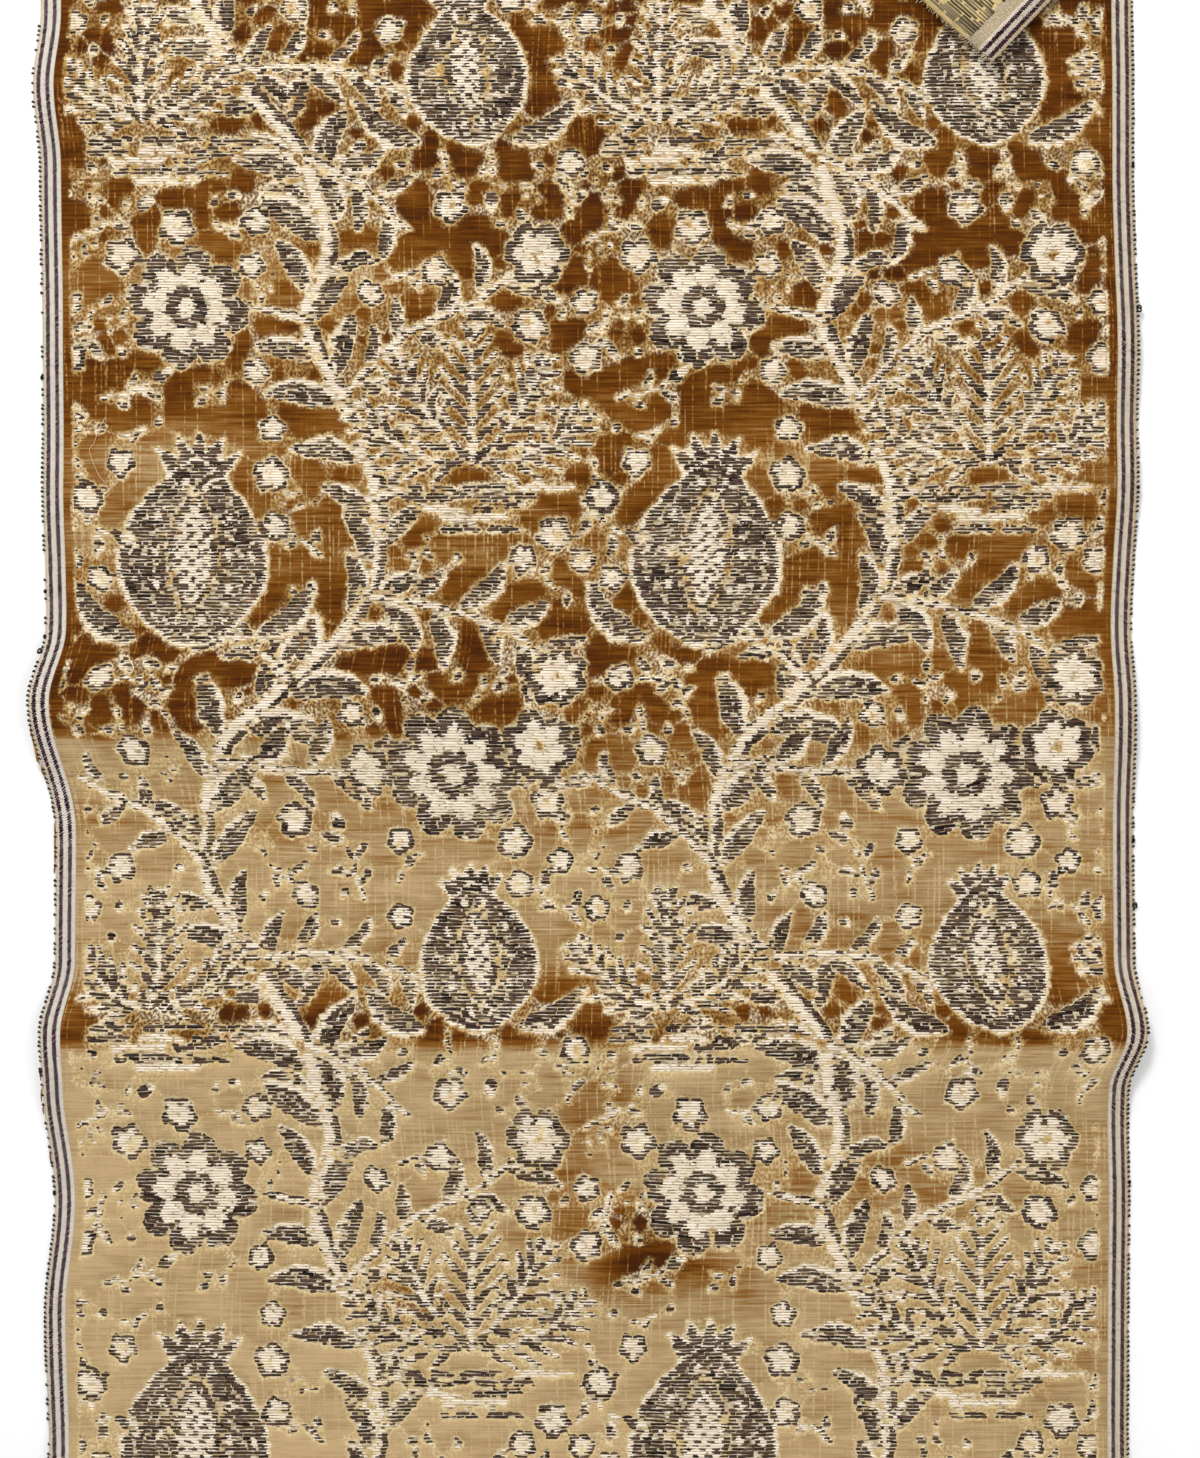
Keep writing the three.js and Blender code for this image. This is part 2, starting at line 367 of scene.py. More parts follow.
def fern(x, y, turn, length, curl, pairs=7):
    """A frond of narrow dark leaflets on a pale rib, each leaflet pale along its tip."""
    leaflets, pale, rib = [], [], []
    heading = math.radians(90 - turn)
    step = length / pairs
    for i in range(pairs):
        share = i / pairs
        run = (step * math.cos(heading), step * math.sin(heading))
        rib.append((x, y, *run, 2.6 - 1.2 * share, 2.4 - 1.2 * share))
        reach = length * 0.34 * math.sin(math.pi * (0.2 + 0.8 * share) ** 0.8) ** 0.7
        for side in (1, -1):
            a = heading + side * math.radians(46 - 10 * share)
            out_x, out_y = reach * math.cos(a), reach * math.sin(a)
            leaflets.append((x, y, out_x, out_y, 4.0, 2.4))
            pale.append((x + out_x * 0.55 - 0.6, y + out_y * 0.55, out_x * 0.45, out_y * 0.45, 1.6, 1.4))
        x, y = x + run[0], y + run[1]
        heading += math.radians(curl / pairs)
    strokes(leaflets, METAL)
    strokes(pale, CREAM, -9)
    strokes(rib, CREAM, -9)


def bank(x, y, width, chance):
    """A low bank of earth: long flat strokes, shorter and shorter towards its foot."""
    for k in range(5):
        half = width / 2 * (1 - 0.15 * k)
        at = x - half + chance.uniform(0, 10)
        while at < x + half:
            run = chance.uniform(16, 34)
            lines = [(at, y - 5.2 * k, run, chance.uniform(-1.5, 1.5), 3.4, 2.2)]
            strokes(lines, METAL if chance.uniform() < 0.6 else CREAM)
            at += run + 5


def sprig(x, y, turn, length, chance):
    """Three small leaves on a short straight stalk."""
    heading = math.radians(90 - turn)
    tip = (length * math.cos(heading), length * math.sin(heading))
    strokes([(x, y, *tip, 2.4, 1.8)], METAL)
    for k, side in enumerate((-1, 1, 0)):
        share = 0.35 + 0.25 * k
        leaf(
            x + share * tip[0], y + share * tip[1], turn + side * chance.uniform(48, 64), length * 0.62,
            width=0.5, bend=-side * 0.1, teeth=3, pale_side=side or 1,
        )


STEMS = [
    dict(start=8.4, end=8.4, gap=15, leaf=36, points=[
        (132, -26), (120, 20), (88, 62), (62, 112), (74, 165), (116, 205), (150, 250),
        (156, 300), (138, 352), (120, 392), (132, 430), (120, 476)]),
    dict(start=4.4, end=3.2, gap=13, leaf=24, points=[(62, 112), (34, 138), (12, 150), (-24, 168)]),
    dict(start=4.4, end=3.6, gap=12, leaf=24, points=[(116, 205), (96, 222), (74, 230)]),
    dict(start=4.2, end=3.2, gap=12, leaf=28, points=[(150, 250), (186, 244), (222, 232), (246, 214)]),
    dict(start=4.6, end=4.0, gap=60, leaf=20, points=[(156, 300), (176, 306), (196, 304)]),
    dict(start=4.2, end=3.4, gap=60, leaf=20, points=[(120, 392), (96, 398), (74, 402)]),
    dict(start=4.4, end=3.4, gap=12, leaf=24, points=[(88, 62), (120, 66), (156, 60), (178, 50)]),
    dict(start=4.0, end=3.2, gap=12, leaf=26, points=[(74, 165), (110, 160), (150, 160)]),
    dict(start=4.2, end=3.0, gap=12, leaf=28, points=[(138, 352), (170, 384), (204, 400), (236, 424)]),
    dict(start=4.2, end=3.0, gap=12, leaf=26, points=[(120, 20), (150, 4), (172, -18)]),
]
draughtsman = np.random.default_rng(11)
for row in STEMS:
    leafy_stem(row["points"], row["start"], row["end"], row["gap"], row["leaf"], draughtsman)
bank(204, 305, 84, draughtsman)
bank(38, 28, 74, draughtsman)
for k in (-1.6, 1.6, -0.8, 0.8, 0):
    fern(204 + 5 * k, 318, k * 50, 74 - 6 * abs(k), curl=k * 26)
for k in (-1.3, 1.3, 0):
    fern(38 + 5 * k, 38, k * 50, 64 - 5 * abs(k), curl=k * 26)
pomegranate(60, 272, 4, 98)
pomegranate(204, 64, -6, 78)
LOOSE_LEAVES = [
    dict(x=30, y=226, turn=-44, length=46, bend=-0.14, pale_side=-1),
    dict(x=92, y=228, turn=44, length=44, bend=0.14, pale_side=1),
    dict(x=180, y=26, turn=-56, length=42, bend=-0.12, pale_side=-1),
    dict(x=226, y=28, turn=58, length=42, bend=0.12, pale_side=1),
]
for row in LOOSE_LEAVES:
    leaf(**row)
BLOSSOMS = [
    dict(x=194, y=158, radius=35, petals=9, turn=0),
    dict(x=58, y=398, radius=32, petals=8, turn=10),
    dict(x=238, y=426, radius=17, petals=6, turn=0),
    dict(x=-24, y=172, radius=19, petals=6, turn=20),
    dict(x=250, y=208, radius=16, petals=7, turn=20),
    dict(x=150, y=160, radius=13, petals=6, turn=20),
]
for row in BLOSSOMS:
    blossom(**row)

# Twigs, small flowers, sprigs and buds fill what room is left, the large ones first.
for reach in (24, 19, 15, 11, 8.5, 6.5):
    for _ in range(1500):
        x, y = draughtsman.uniform(0, REPEAT_ACROSS), draughtsman.uniform(0, REPEAT_ALONG)
        squares, right, up = around(x, y, reach)
        if (weave[squares] != PILE)[np.hypot(right, up) < reach].any():
            continue
        kind = draughtsman.integers(0, 4)
        turn = draughtsman.uniform(0, 360)
        lean = math.radians(turn)
        foot = (x - (reach - 3) * math.sin(lean), y - (reach - 3) * math.cos(lean))
        if reach > 12:
            twig(*foot, turn, (reach - 3) * 1.8, draughtsman)
        elif reach > 8 and kind < 2:
            blossom(x, y, reach - 1.2, petals=5, turn=turn)
        elif reach > 8:
            sprig(*foot, turn, (reach - 2) * 1.8, draughtsman)
        elif kind:
            bud(*foot, turn, (reach - 2.5) * 2)

# The loom steps every outline by a thread or so from pick to pick and from warp to warp.
for rows, axis in ((CHART_SIZE[0], 1), (CHART_SIZE[1], 0)):
    steps = draughtsman.choice([-2, -1, -1, 0, 0, 1, 1, 2], rows // 3 + 1)
    lines = np.arange(rows)
    before = weave.copy()
    for step in (-2, -1, 1, 2):
        picked = lines[steps[lines // 3] == step]
        if axis:
            weave[picked] = np.roll(before, step, axis)[picked]
        else:
            weave[:, picked] = np.roll(before, step, axis)[:, picked]
figure = weave != PILE


def clearance(squares, reach):
    """Distance from each square to the nearest of the given ones, reach at most."""
    out = np.full(squares.shape, reach)
    n = int(reach / SQUARE)
    offsets = [(i, j) for i in range(-n, n + 1) for j in range(-n, n + 1)]
    for i, j in sorted(offsets, key=lambda o: -math.hypot(*o)):
        if math.hypot(i, j) * SQUARE < reach:
            out[np.roll(squares, (i, j), (0, 1))] = math.hypot(i, j) * SQUARE
    return out


# Slivers that the pile would close over are left out.
SLIVER = 0.8
figure = clearance(clearance(~figure, 2.0) > SLIVER, 2.0) < SLIVER + 0.1
weave[~figure] = PILE
outside = clearance(figure, 5.0) - clearance(~figure, 5.0)
for axis in (0, 1, 0, 1):
    outside = (np.roll(outside, 1, axis) + 2 * outside + np.roll(outside, -1, axis)) / 4


def on_chart(values, u, v):
    """A chart's values at places on the cloth, read smoothly between its squares."""
    column = (u % REPEAT_ACROSS) / SQUARE
    row = ((v + REPEAT_START) % REPEAT_ALONG) / SQUARE
    i, j = row.astype(int), column.astype(int)
    s, t = row - i, column - j
    i, j = i % CHART_SIZE[0], j % CHART_SIZE[1]
    i2, j2 = (i + 1) % CHART_SIZE[0], (j + 1) % CHART_SIZE[1]
    low = values[i, j] * (1 - t) + values[i, j2] * t
    return low * (1 - s) + (values[i2, j] * (1 - t) + values[i2, j2] * t) * s


# The velvet itself: a silk ground cloth with a gold silk pile, left bare where the figure is woven.
# It is one closed sheet. The pile stands over the figure and slopes down to it along every outline,
# and the selvedges and the reverse are part of the same cloth.
SELVEDGE = 10.5
PILE_START = 12.0               # from the cloth's edge to full pile
FIGURE_EDGE = 264.0             # the figure stops here, short of each selvedge
SELVEDGE_LEVEL = 1.1
FIGURE_LEVEL = 1.0
BACK_LEVEL = 0.1
SLOPE = 1.2                     # width of the pile's slope round the figure
GLOW = 3.4                      # how far from the figure the pile's ends are painted pale, a painted highlight
OUTLINE_STEP = 2.05
GRID_STEP = 6.5


def off_figure(u, v):
    """Distance from the figure, below 0 inside it."""
    return np.minimum(np.maximum(on_chart(outside, u, v), np.abs(u) - FIGURE_EDGE), 5.0)


def pile_share(u, v):
    """How much of the pile's height stands at a place: none in the figure, and all of it past the slope."""
    return np.clip(2 * off_figure(u, v) / SLOPE - 0.5, 0, 1)


def face_level(u, v):
    level = FIGURE_LEVEL + (THICKNESS - FIGURE_LEVEL) * pile_share(u, v)
    start = smooth((WIDTH / 2 - np.abs(u) - SELVEDGE) / (PILE_START - SELVEDGE))
    return SELVEDGE_LEVEL + (level - SELVEDGE_LEVEL) * start


def outlines(field, across, along):
    """Points and edges where a field on a grid of places passes through 0."""
    inside = field < 0
    count, ids, points = 0, [], []
    for axis in (1, 0):
        near, far = (field[:, :-1], field[:, 1:]) if axis else (field[:-1], field[1:])
        crossed = (near < 0) != (far < 0)
        number = np.where(crossed, np.cumsum(crossed.ravel()).reshape(crossed.shape) - 1 + count, -1)
        row, column = np.nonzero(crossed)
        share = np.clip(near[crossed] / (near[crossed] - far[crossed]), 0.15, 0.85)
        x = across[column] + (share * (across[1] - across[0]) if axis else 0)
        y = along[row] + (0 if axis else share * (along[1] - along[0]))
        points.append(np.stack([x, y], -1))
        ids.append(number)
        count += int(crossed.sum())
    sides = np.stack([ids[0][:-1], ids[1][:, :-1], ids[0][1:], ids[1][:, 1:]], -1).reshape(-1, 4)
    met = (sides >= 0).sum(1)
    two = np.sort(sides[met == 2], 1)[:, 2:]
    four = sides[met == 4]
    return np.vstack(points), np.vstack([two, four[:, :2], four[:, 2:]])


def straight(x0, y0, x1, y1, step):
    count = max(2, round(math.hypot(x1 - x0, y1 - y0) / step) + 1)
    points = np.stack([np.linspace(x0, x1, count), np.linspace(y0, y1, count)], -1)
    return points, np.stack([np.arange(count - 1), np.arange(1, count)], -1)


def fold_lines():
    """Lines along the turned fold, close together round its bend, each as its two ends."""
    lines = []
    slope = towards_corner[0] / towards_corner[1]
    for past in [*np.linspace(0, bend_length, 11), *(bend_length + np.array([9, 18, 27, 36]))]:
        start = fold_point + past * towards_corner
        right_v = start[1] - (WIDTH / 2 - start[0]) * slope
        left_u = start[0] - (LENGTH / 2 - start[1]) / slope
        lines.append((WIDTH / 2, right_v, left_u, LENGTH / 2))
    return lines


def triangulate(paths, loose):
    """Joins paths and loose points into one net of triangles."""
    points, edges, count = [], [], 0
    for path_points, path_edges in paths:
        points.append(path_points)
        edges.append(path_edges + count)
        count += len(path_points)
    points = np.vstack([*points, loose])
    made = delaunay_2d_cdt([Vector(p) for p in points], np.vstack(edges).tolist(), [], 0, 0.02, False)
    return np.array([tuple(p) for p in made[0]]), np.array(made[2])


def grid(step_u, step_v):
    u = np.linspace(-WIDTH / 2, WIDTH / 2, round(WIDTH / step_u) + 1)
    v = np.linspace(-LENGTH / 2, LENGTH / 2, round(LENGTH / step_v) + 1)
    right, up = np.meshgrid(u[1:-1], v[1:-1])
    right[1::2] += step_u / 2
    return np.stack([right.ravel(), up.ravel()], -1)


half_u, half_v = WIDTH / 2, LENGTH / 2
long_lines = [
    straight(side * u, -half_v, side * u, half_v, step)
    for side in (-1, 1)
    for u, step in ((half_u, 4), (half_u - SELVEDGE / 2, 4), (half_u - SELVEDGE, 4), (half_u - PILE_START, 5))
]
end_lines = [straight(-half_u, end, half_u, end, 5) for end in (-half_v, half_v)]
bend_lines = [straight(*line, 6) for line in fold_lines()]

across = np.linspace(-half_u, half_u, round(WIDTH / OUTLINE_STEP) + 1)
along = np.linspace(-half_v, half_v, round(LENGTH / OUTLINE_STEP) + 1)
field = off_figure(*np.meshgrid(across, along))
edge_of_figure = outlines(field, across, along)
edge_of_pile = outlines(field - SLOPE, across, along)
loose = grid(GRID_STEP, GRID_STEP)
from_outline = np.abs(off_figure(loose[:, 0], loose[:, 1]))
room_left = (from_outline > SLOPE + 1.4) & (np.abs(loose[:, 0]) < half_u - PILE_START - 2.5)
face_uv, face_triangles = triangulate(
    [*long_lines, *end_lines, *bend_lines, edge_of_figure, edge_of_pile], loose[room_left]
)


def rim_edges(triangles):
    """The edges that only one triangle has, in the triangles' own direction."""
    edges = np.vstack([triangles[:, [0, 1]], triangles[:, [1, 2]], triangles[:, [2, 0]]])
    known = set(map(tuple, edges.tolist()))
    return np.array([e for e in edges.tolist() if (e[1], e[0]) not in known])


rim = rim_edges(face_triangles)
rim_points, rim_path = np.unique(rim, return_inverse=True)
back_loose = grid(13.0, 13.0)
back_loose = back_loose[np.abs(back_loose[:, 0]) < half_u - 14]
back_lines = [
    straight(side * (half_u - SELVEDGE), -half_v, side * (half_u - SELVEDGE), half_v, 8)
    for side in (-1, 1)
]
back_uv, back_triangles = triangulate(
    [(face_uv[rim_points], rim_path.reshape(-1, 2)), *bend_lines, *back_lines], back_loose
)
back_at = {(round(u, 2), round(v, 2)): i for i, (u, v) in enumerate(back_uv.tolist())}
under = np.full(len(face_uv), -1)
for i in rim_points:
    under[i] = back_at[round(float(face_uv[i, 0]), 2), round(float(face_uv[i, 1]), 2)] + len(face_uv)

cloth_uv = np.vstack([face_uv, back_uv])
cloth_w = np.concatenate([face_level(face_uv[:, 0], face_uv[:, 1]), np.full(len(back_uv), BACK_LEVEL)])
walls = np.vstack([
    np.stack([rim[:, 0], under[rim[:, 0]], under[rim[:, 1]]], -1),
    np.stack([rim[:, 0], under[rim[:, 1]], rim[:, 1]], -1),
])
triangles = np.vstack([face_triangles, back_triangles[:, ::-1] + len(face_uv), walls])
first_back, first_wall = len(face_triangles), len(face_triangles) + len(back_triangles)


def new_piece(name, points, faces):
    mesh = bpy.data.meshes.new(name)
    mesh.from_pydata(points.tolist(), [], [tuple(face) for face in faces])
    mesh.validate()
    piece = bpy.data.objects.new(name, mesh)
    bpy.context.scene.collection.objects.link(piece)
    return piece


def set_values(piece, name, values):
    """Gives each point of a piece a value that its material can read."""
    layer = piece.data.attributes.new(name, "FLOAT", "POINT")
    layer.data.foreach_set("value", np.asarray(values, np.float32))


def set_map(piece, name, places):
    """Gives each corner of a piece's faces a place on a flat map."""
    layer = piece.data.uv_layers.new(name=name)
    layer.data.foreach_set("uv", np.asarray(places, np.float32).ravel())


velvet = new_piece("velvet_cloth", lie(cloth_uv[:, 0], cloth_uv[:, 1], cloth_w), triangles.tolist())
velvet.data.polygons.foreach_set("use_smooth", np.arange(len(triangles)) < first_wall)


def colour(code):
    """A colour as a screen shows it, for a material."""
    parts = [int(code[i:i + 2], 16) / 255 for i in (1, 3, 5)]
    return (*(c / 12.92 if c < 0.04045 else ((c + 0.055) / 1.055) ** 2.4 for c in parts), 1)


def wire(tree, kind, inputs, **settings):
    """Adds a node. Each input takes a value, another node or one of its sockets."""
    made = tree.nodes.new(kind)
    for name, value in settings.items():
        setattr(made, name, value)
    for key, value in inputs.items():
        if isinstance(value, bpy.types.Node):
            value = value.outputs[0]
        if isinstance(value, bpy.types.NodeSocket):
            tree.links.new(value, made.inputs[key])
        else:
            made.inputs[key].default_value = value
    return made


def calc(tree, operation, a, b=0.5, clamp=False):
    return wire(tree, "ShaderNodeMath", {0: a, 1: b}, operation=operation, use_clamp=clamp)


def ramp(tree, value, stops):
    """Grades a value through (position, colour or grey) stops."""
    made = wire(tree, "ShaderNodeValToRGB", {"Fac": value})
    elements = made.color_ramp.elements
    while len(elements) < len(stops):
        elements.new(0.5)
    for element, (place, shade) in zip(elements, stops):
        element.position = place
    for element, (place, shade) in zip(elements, stops):
        element.color = colour(shade) if isinstance(shade, str) else (shade, shade, shade, 1)
    return made


def mix(tree, share, a, b):
    return wire(tree, "ShaderNodeMixRGB", {"Fac": share, "Color1": a, "Color2": b})


def noise(tree, x, y, size_x, size_y, detail=2.0, rough=0.5, seed=0.0):
    """Noise from 0 to 1 over the flat cloth, its cells size_x by size_y millimetres."""
    place = wire(tree, "ShaderNodeCombineXYZ", {
        0: calc(tree, "DIVIDE", x, size_x), 1: calc(tree, "DIVIDE", y, size_y), 2: seed,
    })
    inputs = {"Vector": place, "Scale": 1.0, "Detail": detail, "Roughness": rough}
    return wire(tree, "ShaderNodeTexNoise", inputs)


def new_silk(name, roughness, sheen=0.0, metallic=0.0):
    """A material, with its flat place across and along the cloth in millimetres."""
    material = bpy.data.materials.new(name)
    material.use_nodes = True
    tree = material.node_tree
    surface = tree.nodes["Principled BSDF"]
    surface.inputs["Roughness"].default_value = roughness
    surface.inputs["Sheen Weight"].default_value = sheen
    surface.inputs["Sheen Roughness"].default_value = 0.4
    surface.inputs["Metallic"].default_value = metallic
    surface.inputs["Specular IOR Level"].default_value = 0.12
    flat = wire(tree, "ShaderNodeSeparateXYZ", {0: wire(tree, "ShaderNodeUVMap", {}, uv_map="Cloth")})
    x = calc(tree, "MULTIPLY", flat.outputs[0], 1000)
    y = calc(tree, "MULTIPLY", flat.outputs[1], 1000)
    return material, tree, surface, x, y


def bump(tree, surface, height, distance):
    raised = wire(tree, "ShaderNodeBump", {"Height": height, "Distance": distance * MM, "Strength": 1.0})
    tree.links.new(raised.outputs[0], surface.inputs["Normal"])


# How pale the pile looks, from 0 to 1, along the left, the middle and the right of the cloth. It
# turns where the folds lean the pile towards the light or away from it.
TONE_REACH = 250                # from the middle to the left and the right run
TONE_RUN = [
    (-498, 0.90, 0.90, 0.87), (-392, 0.93, 0.90, 0.82), (-350, 0.92, 0.84, 0.78), (-323, 0.86, 0.68, 0.78),
    (-282, 0.94, 0.64, 0.76), (-250, 0.94, 0.76, 0.70), (-220, 0.92, 0.80, 0.78), (-196, 0.84, 0.84, 0.88),
    (-192, 0.80, 0.82, 0.86), (-189, 0.10, 0.06, 0.12), (-168, 0.34, 0.20, 0.20), (-152, 0.68, 0.46, 0.34),
    (-137, 0.78, 0.64, 0.48), (-112, 0.84, 0.74, 0.66), (-90, 0.74, 0.68, 0.66), (-78, 0.60, 0.58, 0.66),
    (-64, 0.70, 0.54, 0.70), (-46, 0.80, 0.40, 0.66), (-34, 0.76, 0.32, 0.58), (-30, 0.10, 0.14, 0.46),
    (17, 0.05, 0.12, 0.30), (30, 0.18, 0.16, 0.30), (66, 0.38, 0.24, 0.14), (100, 0.40, 0.16, 0.32),
    (126, 0.28, 0.22, 0.26), (150, 0.14, 0.12, 0.17), (200, 0.32, 0.12, 0.10), (230, 0.17, 0.06, 0.10),
    (310, 0.07, 0.06, 0.14), (347, 0.12, 0.05, 0.05), (498, 0.08, 0.06, 0.08),
]
# Painted light and shade on the pile, where it was pressed or ruffled and so leans another way to the light:
# centre, half-widths and how much paler it is painted.
PAINTED_LIGHT_PATCHES = [
    (29, -288, 30, 20, -0.62), (42, -308, 44, 9, -0.42), (-92, -323, 24, 12, -0.55),
    (8, -222, 20, 28, -0.30), (135, -262, 84, 22, -0.18), (238, -332, 40, 60, -0.12),
    (-14, -262, 16, 34, -0.24), (66, -62, 40, 16, -0.22), (-150, 206, 96, 22, 0.16),
    (-214, 112, 48, 18, 0.22), (-238, 72, 30, 18, 0.20), (90, 106, 64, 14, 0.18),
    (196, 62, 60, 22, 0.10), (130, 22, 70, 18, 0.14), (-52, 60, 40, 14, 0.12),
    (-206, -172, 46, 12, -0.25), (-120, -176, 40, 10, -0.20), (160, 178, 60, 12, 0.10),
    (-30, 316, 70, 14, 0.06), (-160, 300, 60, 10, 0.08),
]

# The pile's colour follows that tone. Ribs cross it at every pick, paler warps break through it here and
# there, and round the figure its cut ends carry a painted highlight: a bright soft edge where their sides
# catch the light.
pile, tree, surface, x, y = new_silk("gold_silk_pile", roughness=0.9, sheen=0.06)
wander = calc(tree, "MULTIPLY_ADD", noise(tree, x, y, 34, 34, seed=1), 6)
wander.inputs[2].default_value = -3
run = calc(tree, "ADD", y, wander)
share = calc(tree, "DIVIDE", calc(tree, "ADD", run, half_v), LENGTH)
thirds = [ramp(tree, share, [((row[0] + half_v) / LENGTH, row[k]) for row in TONE_RUN]) for k in (1, 2, 3)]
to_middle = calc(tree, "MULTIPLY_ADD", x, 1 / TONE_REACH, clamp=True)
to_middle.inputs[2].default_value = 1.0
to_right = calc(tree, "MULTIPLY", x, 1 / TONE_REACH, clamp=True)
tone = mix(tree, to_right, mix(tree, to_middle, thirds[0], thirds[1]), thirds[2])
# The patches of painted light and shade lift or lower the pile's tone.
painted_light_patch = wire(tree, "ShaderNodeAttribute", {}, attribute_name="painted_light_patch")
tone = calc(tree, "ADD", tone, painted_light_patch.outputs["Fac"])
mottle = calc(tree, "SUBTRACT", noise(tree, x, y, 34, 15, detail=4, rough=0.6, seed=2), 0.47)
tone = calc(tree, "ADD", tone, calc(tree, "MULTIPLY", mottle, 0.75), clamp=True)
picks = calc(tree, "SUBTRACT", noise(tree, x, y, 24, 1.25, detail=1, seed=3), 0.5)
room_for_ribs = calc(tree, "MULTIPLY", calc(tree, "SUBTRACT", 1.17, tone), calc(tree, "ADD", tone, 0.11))
tone = calc(tree, "ADD", tone, calc(tree, "MULTIPLY", calc(tree, "MULTIPLY", picks, room_for_ribs), 2.0))
warps = noise(tree, x, y, 1.3, 44, detail=0, seed=4)
breaks = noise(tree, x, y, 1.6, 2.6, detail=1, seed=5)
streak = calc(tree, "MULTIPLY", calc(tree, "SUBTRACT", warps, 0.61, clamp=True), 9, clamp=True)
broken = calc(tree, "MULTIPLY", calc(tree, "SUBTRACT", breaks, 0.36), 4, clamp=True)
streak = calc(tree, "MULTIPLY", streak, broken)
hairs = noise(tree, x, y, 46, 0.9, detail=0, seed=6)
hair = calc(tree, "MULTIPLY", calc(tree, "SUBTRACT", hairs, 0.70, clamp=True), 4, clamp=True)
tone = calc(tree, "ADD", tone, calc(tree, "MULTIPLY", calc(tree, "ADD", streak, hair), 0.46), clamp=True)
silk = ramp(tree, tone, [
    (0.0, "#401c00"), (0.16, "#5c3000"), (0.32, "#73440b"), (0.52, "#8b612f"),
    (0.72, "#a08359"), (0.86, "#ad9168"), (1.0, "#bb9f75"),
])
apart = wire(tree, "ShaderNodeAttribute", {}, attribute_name="apart")
tufts = calc(tree, "SUBTRACT", noise(tree, x, y, 1.3, 1.6, detail=1, seed=7), 0.5)
near = calc(tree, "SUBTRACT", 1, apart.outputs["Fac"])
rough_edge = calc(tree, "MULTIPLY", near, calc(tree, "MULTIPLY", tufts, 1.3))
depth = calc(tree, "ADD", apart.outputs["Fac"], rough_edge, clamp=True)
# Painted highlight: the pile's cut ends round the figure are painted pale cream, brightest against the
# darkest pile.
edge_highlight_mottle = noise(tree, x, y, 15, 15, detail=3, rough=0.65, seed=9)
edge = ramp(tree, edge_highlight_mottle, [(0.36, "#92692d"), (0.46, "#bb9656"), (0.55, "#e1c99a"), (0.66, "#f4e5c5")])
edge = mix(tree, calc(tree, "MULTIPLY", tone, 0.8, clamp=True), edge, colour("#d4be8c"))
edge_highlight_share = ramp(tree, depth, [
    (0.0, 1.0), (0.16, 0.9), (0.27, 0.62), (0.36, 0.28), (0.46, 0.08), (0.58, 0.0),
])
pile_colour = mix(tree, edge_highlight_share, silk, edge)
ground = ramp(tree, noise(tree, x, y, 5.0, 0.95, detail=2, rough=0.6, seed=8), [
    (0.30, "#544133"), (0.42, "#8d7552"), (0.50, "#b09f82"), (0.57, "#cfc2ac"), (0.68, "#e7dccb"),
])
shown = mix(tree, calc(tree, "MULTIPLY", apart.outputs["Fac"], 9, clamp=True), ground, pile_colour)
tree.links.new(shown.outputs[0], surface.inputs["Base Color"])
surface.inputs["Sheen Tint"].default_value = colour("#e8c890")
bump(tree, surface, calc(tree, "ADD", picks, calc(tree, "MULTIPLY", tufts, 0.5)), 0.5)

# The selvedges are woven without pile, in cream silk. A weft shows in them now and then.
selvedge, tree, surface, x, y = new_silk("selvedge_silk", roughness=0.7)
from_edge = calc(tree, "SUBTRACT", half_u, calc(tree, "ABSOLUTE", x))
bands = ramp(tree, calc(tree, "DIVIDE", from_edge, PILE_START), [
    (0.0, "#ccb690"), (0.12, "#d6c2a0"), (0.24, "#cfbea2"), (0.34, "#cfc4b0"), (0.50, "#c6b9a4"),
    (0.62, "#d4cbba"), (0.82, "#cdc2ae"), (0.87, "#a88f62"),
])
crossing = noise(tree, x, y, 3.0, 1.1, detail=2, rough=0.7, seed=11)
crossing = calc(tree, "MULTIPLY", calc(tree, "SUBTRACT", crossing, 0.53), 5, clamp=True)
cords = noise(tree, x, y, 0.5, 9, detail=1, seed=12)
woven = mix(tree, calc(tree, "MULTIPLY", crossing, 0.75), bands, colour("#867566"))
between_cords = calc(tree, "MULTIPLY", calc(tree, "SUBTRACT", cords, 0.5, clamp=True), 0.9)
woven = mix(tree, between_cords, woven, colour("#a5917a"))
# Painted light: the left selvedge is painted paler and greyer, as the side the light falls on.
lit_left_side = calc(tree, "LESS_THAN", x, 0)
woven = mix(tree, calc(tree, "MULTIPLY", lit_left_side, 0.32), woven, colour("#dcdad8"))
tree.links.new(woven.outputs[0], surface.inputs["Base Color"])
bump(tree, surface, calc(tree, "ADD", cords, crossing), 0.25)

# The reverse is smooth and pale gold, because the pile's warps are bound flat there. Along both
# selvedges it has a plain margin, which is greyer.
reverse, tree, surface, x, y = new_silk("reverse_silk", roughness=0.75)
back_weave = noise(tree, x, y, 5, 0.55, detail=2, rough=0.6, seed=21)
back_shade = ramp(tree, back_weave, [(0.3, "#a58c5c"), (0.5, "#c7ad76"), (0.68, "#dac592")])
plain_weave = noise(tree, x, y, 0.9, 0.9, detail=1, seed=22)
plain_shade = ramp(tree, plain_weave, [(0.3, "#8b7a60"), (0.5, "#ab9a7e"), (0.7, "#c0b194")])
in_margin = calc(tree, "GREATER_THAN", calc(tree, "ABSOLUTE", x), FIGURE_EDGE - 2)
back_shade = mix(tree, in_margin, back_shade, plain_shade)
tree.links.new(back_shade.outputs[0], surface.inputs["Base Color"])
bump(tree, surface, back_weave, 0.25)

